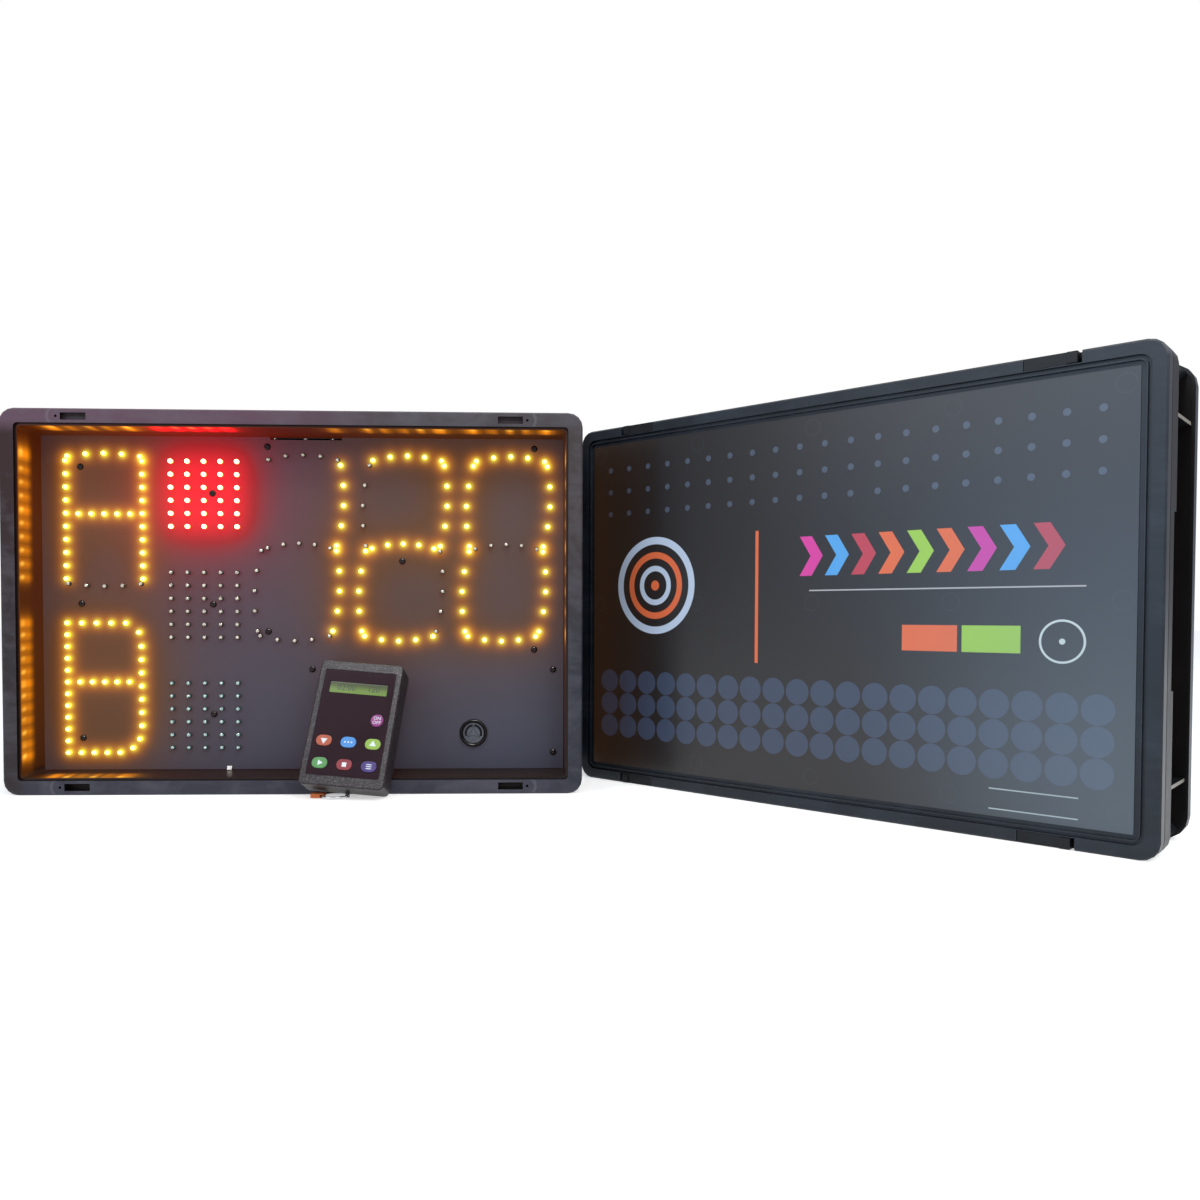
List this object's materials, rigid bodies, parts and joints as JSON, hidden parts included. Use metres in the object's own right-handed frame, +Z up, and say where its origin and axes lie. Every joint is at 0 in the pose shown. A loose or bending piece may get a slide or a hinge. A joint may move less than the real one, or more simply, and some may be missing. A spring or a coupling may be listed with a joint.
{
  "type": "archery countdown timer",
  "caption": "Archery line timer: open LED display in a black stacking crate, closed display under a latched lid, and a handheld remote with coloured keys and a key ring.",
  "frame": {"origin": "on the table, in the middle of the open display's rim, on its lower face", "axes": "+Z up; -Y the way the open display faces; +X along the displays, towards the closed one"},
  "size_m": [1.1118, 0.4954, 0.4],
  "materials": {
    "amber_led": "clear lens, lit amber",
    "battery_blue": "shrink wrap",
    "black_crate": "moulded, satin, scuffed",
    "black_screw": "black oxide, gloss",
    "board_green": "solder mask",
    "clear_led": "clear lens, unlit",
    "green_led": "clear lens, unlit",
    "key_blue": "moulded",
    "key_green": "moulded",
    "key_indigo": "moulded",
    "key_lime": "moulded",
    "key_magenta": "moulded",
    "key_orange": "moulded",
    "key_red": "moulded",
    "lcd_green": "lens over a backlit cell",
    "lid_print": "moulded, printed film in the middle",
    "nickel": "nickel plate",
    "orange_tag": "folded tape",
    "overlay_black": "printed film",
    "panel_black": "satin",
    "red_led": "clear lens, lit red",
    "remote_black": "fine texture",
    "sounder_black": "satin",
    "sounder_grey": "satin",
    "steel": "bright"
  },
  "bodies": {
    "display_a": {"a_battery_pack": "battery_blue", "a_battery_strap": "steel", "a_control_board": "board_green", "a_crate": "black_crate", "a_digit_hundreds_leds": "amber_led", "a_digit_tens_leds": "amber_led", "a_digit_units_leds": "amber_led", "a_display_panel": "panel_black", "a_lamp_amber_leds": "clear_led", "a_lamp_green_leds": "green_led", "a_lamp_red_leds": "red_led", "a_letter_lower_leds": "amber_led", "a_letter_upper_leds": "amber_led", "a_panel_clip": "nickel", "a_panel_screw_01": "black_screw", "a_panel_screw_02": "black_screw", "a_panel_screw_03": "black_screw", "a_panel_screw_04": "black_screw", "a_panel_screw_05": "black_screw", "a_panel_screw_06": "black_screw", "a_panel_screw_07": "black_screw", "a_panel_screw_08": "black_screw", "a_panel_screw_09": "black_screw", "a_panel_screw_10": "black_screw", "a_panel_screw_11": "black_screw", "a_panel_screw_12": "black_screw", "a_panel_screw_13": "black_screw", "a_panel_screw_14": "black_screw", "a_socket_strip": "nickel", "a_sounder_bezel": "sounder_black", "a_sounder_body": "sounder_black", "a_sounder_cap": "sounder_grey"},
    "display_b": {"b_battery_pack": "battery_blue", "b_battery_strap": "steel", "b_circuit_board": "board_green", "b_crate": "black_crate", "b_display_panel": "panel_black", "b_sounder": "sounder_black"},
    "lid": {"b_lid": "lid_print"},
    "latch_top_left": {"b_latch_top_left": "black_crate"},
    "latch_top_right": {"b_latch_top_right": "black_crate"},
    "latch_bottom_left": {"b_latch_bottom_left": "black_crate"},
    "latch_bottom_right": {"b_latch_bottom_right": "black_crate"},
    "remote": {"remote_front_case": "remote_black", "remote_back_case": "remote_black", "remote_overlay": "overlay_black", "remote_lcd_window": "lcd_green", "remote_lcd_module": "board_green", "remote_board": "board_green", "remote_battery": "battery_blue"},
    "battery_door": {"remote_battery_door": "remote_black"},
    "key_power": {"remote_key_power": "key_magenta"},
    "key_down": {"remote_key_down": "key_orange"},
    "key_select": {"remote_key_select": "key_blue"},
    "key_up": {"remote_key_up": "key_lime"},
    "key_start": {"remote_key_start": "key_green"},
    "key_stop": {"remote_key_stop": "key_red"},
    "key_mode": {"remote_key_mode": "key_indigo"},
    "key_ring": {"remote_key_ring": "steel", "remote_key_tag": "orange_tag"}
  },
  "joints": [
    {"name": "display_b_set_aside", "type": "slide", "parent": "display_a", "child": "display_b", "axis": [1, 0, 0], "range_m": [0, 0.25]},
    {"name": "lid_swing", "type": "hinge", "parent": "display_b", "child": "lid", "pos_m": [0.3006, 0.1023, 0.2], "axis": [0, 0, -1], "range_deg": [0, 45]},
    {"name": "latch_top_left_slide", "type": "slide", "parent": "lid", "child": "latch_top_left", "axis": [-0.7234, 0.6904, 0], "range_m": [0, 0.003]},
    {"name": "latch_top_right_slide", "type": "slide", "parent": "lid", "child": "latch_top_right", "axis": [0.7234, -0.6904, 0], "range_m": [0, 0.003]},
    {"name": "latch_bottom_left_slide", "type": "slide", "parent": "lid", "child": "latch_bottom_left", "axis": [-0.7234, 0.6904, 0], "range_m": [0, 0.003]},
    {"name": "latch_bottom_right_slide", "type": "slide", "parent": "lid", "child": "latch_bottom_right", "axis": [0.7234, -0.6904, 0], "range_m": [0, 0.003]},
    {"name": "remote_lift", "type": "slide", "parent": "display_a", "child": "remote", "axis": [-0.0266, -0.9181, 0.3955], "range_m": [0, 0.15]},
    {"name": "key_power_press", "type": "slide", "parent": "remote", "child": "key_power", "axis": [0.0266, 0.9181, -0.3955], "range_m": [0, 0.0005], "stiffness_N_per_m": 3000, "springref_m": -0.0002},
    {"name": "key_down_press", "type": "slide", "parent": "remote", "child": "key_down", "axis": [0.0266, 0.9181, -0.3955], "range_m": [0, 0.0005], "stiffness_N_per_m": 3000, "springref_m": -0.0002},
    {"name": "key_select_press", "type": "slide", "parent": "remote", "child": "key_select", "axis": [0.0266, 0.9181, -0.3955], "range_m": [0, 0.0005], "stiffness_N_per_m": 3000, "springref_m": -0.0002},
    {"name": "key_up_press", "type": "slide", "parent": "remote", "child": "key_up", "axis": [0.0266, 0.9181, -0.3955], "range_m": [0, 0.0005], "stiffness_N_per_m": 3000, "springref_m": -0.0002},
    {"name": "key_start_press", "type": "slide", "parent": "remote", "child": "key_start", "axis": [0.0266, 0.9181, -0.3955], "range_m": [0, 0.0005], "stiffness_N_per_m": 3000, "springref_m": -0.0002},
    {"name": "key_stop_press", "type": "slide", "parent": "remote", "child": "key_stop", "axis": [0.0266, 0.9181, -0.3955], "range_m": [0, 0.0005], "stiffness_N_per_m": 3000, "springref_m": -0.0002},
    {"name": "key_mode_press", "type": "slide", "parent": "remote", "child": "key_mode", "axis": [0.0266, 0.9181, -0.3955], "range_m": [0, 0.0005], "stiffness_N_per_m": 3000, "springref_m": -0.0002},
    {"name": "battery_door_slide", "type": "slide", "parent": "remote", "child": "battery_door", "axis": [0.0984, 0.3914, 0.915], "range_m": [0, 0.0035]},
    {"name": "key_ring_turn", "type": "hinge", "parent": "remote", "child": "key_ring", "pos_m": [0.045, -0.0277, 0.0022], "axis": [0, 0, 1], "range_deg": [0, 70]}
  ]
}
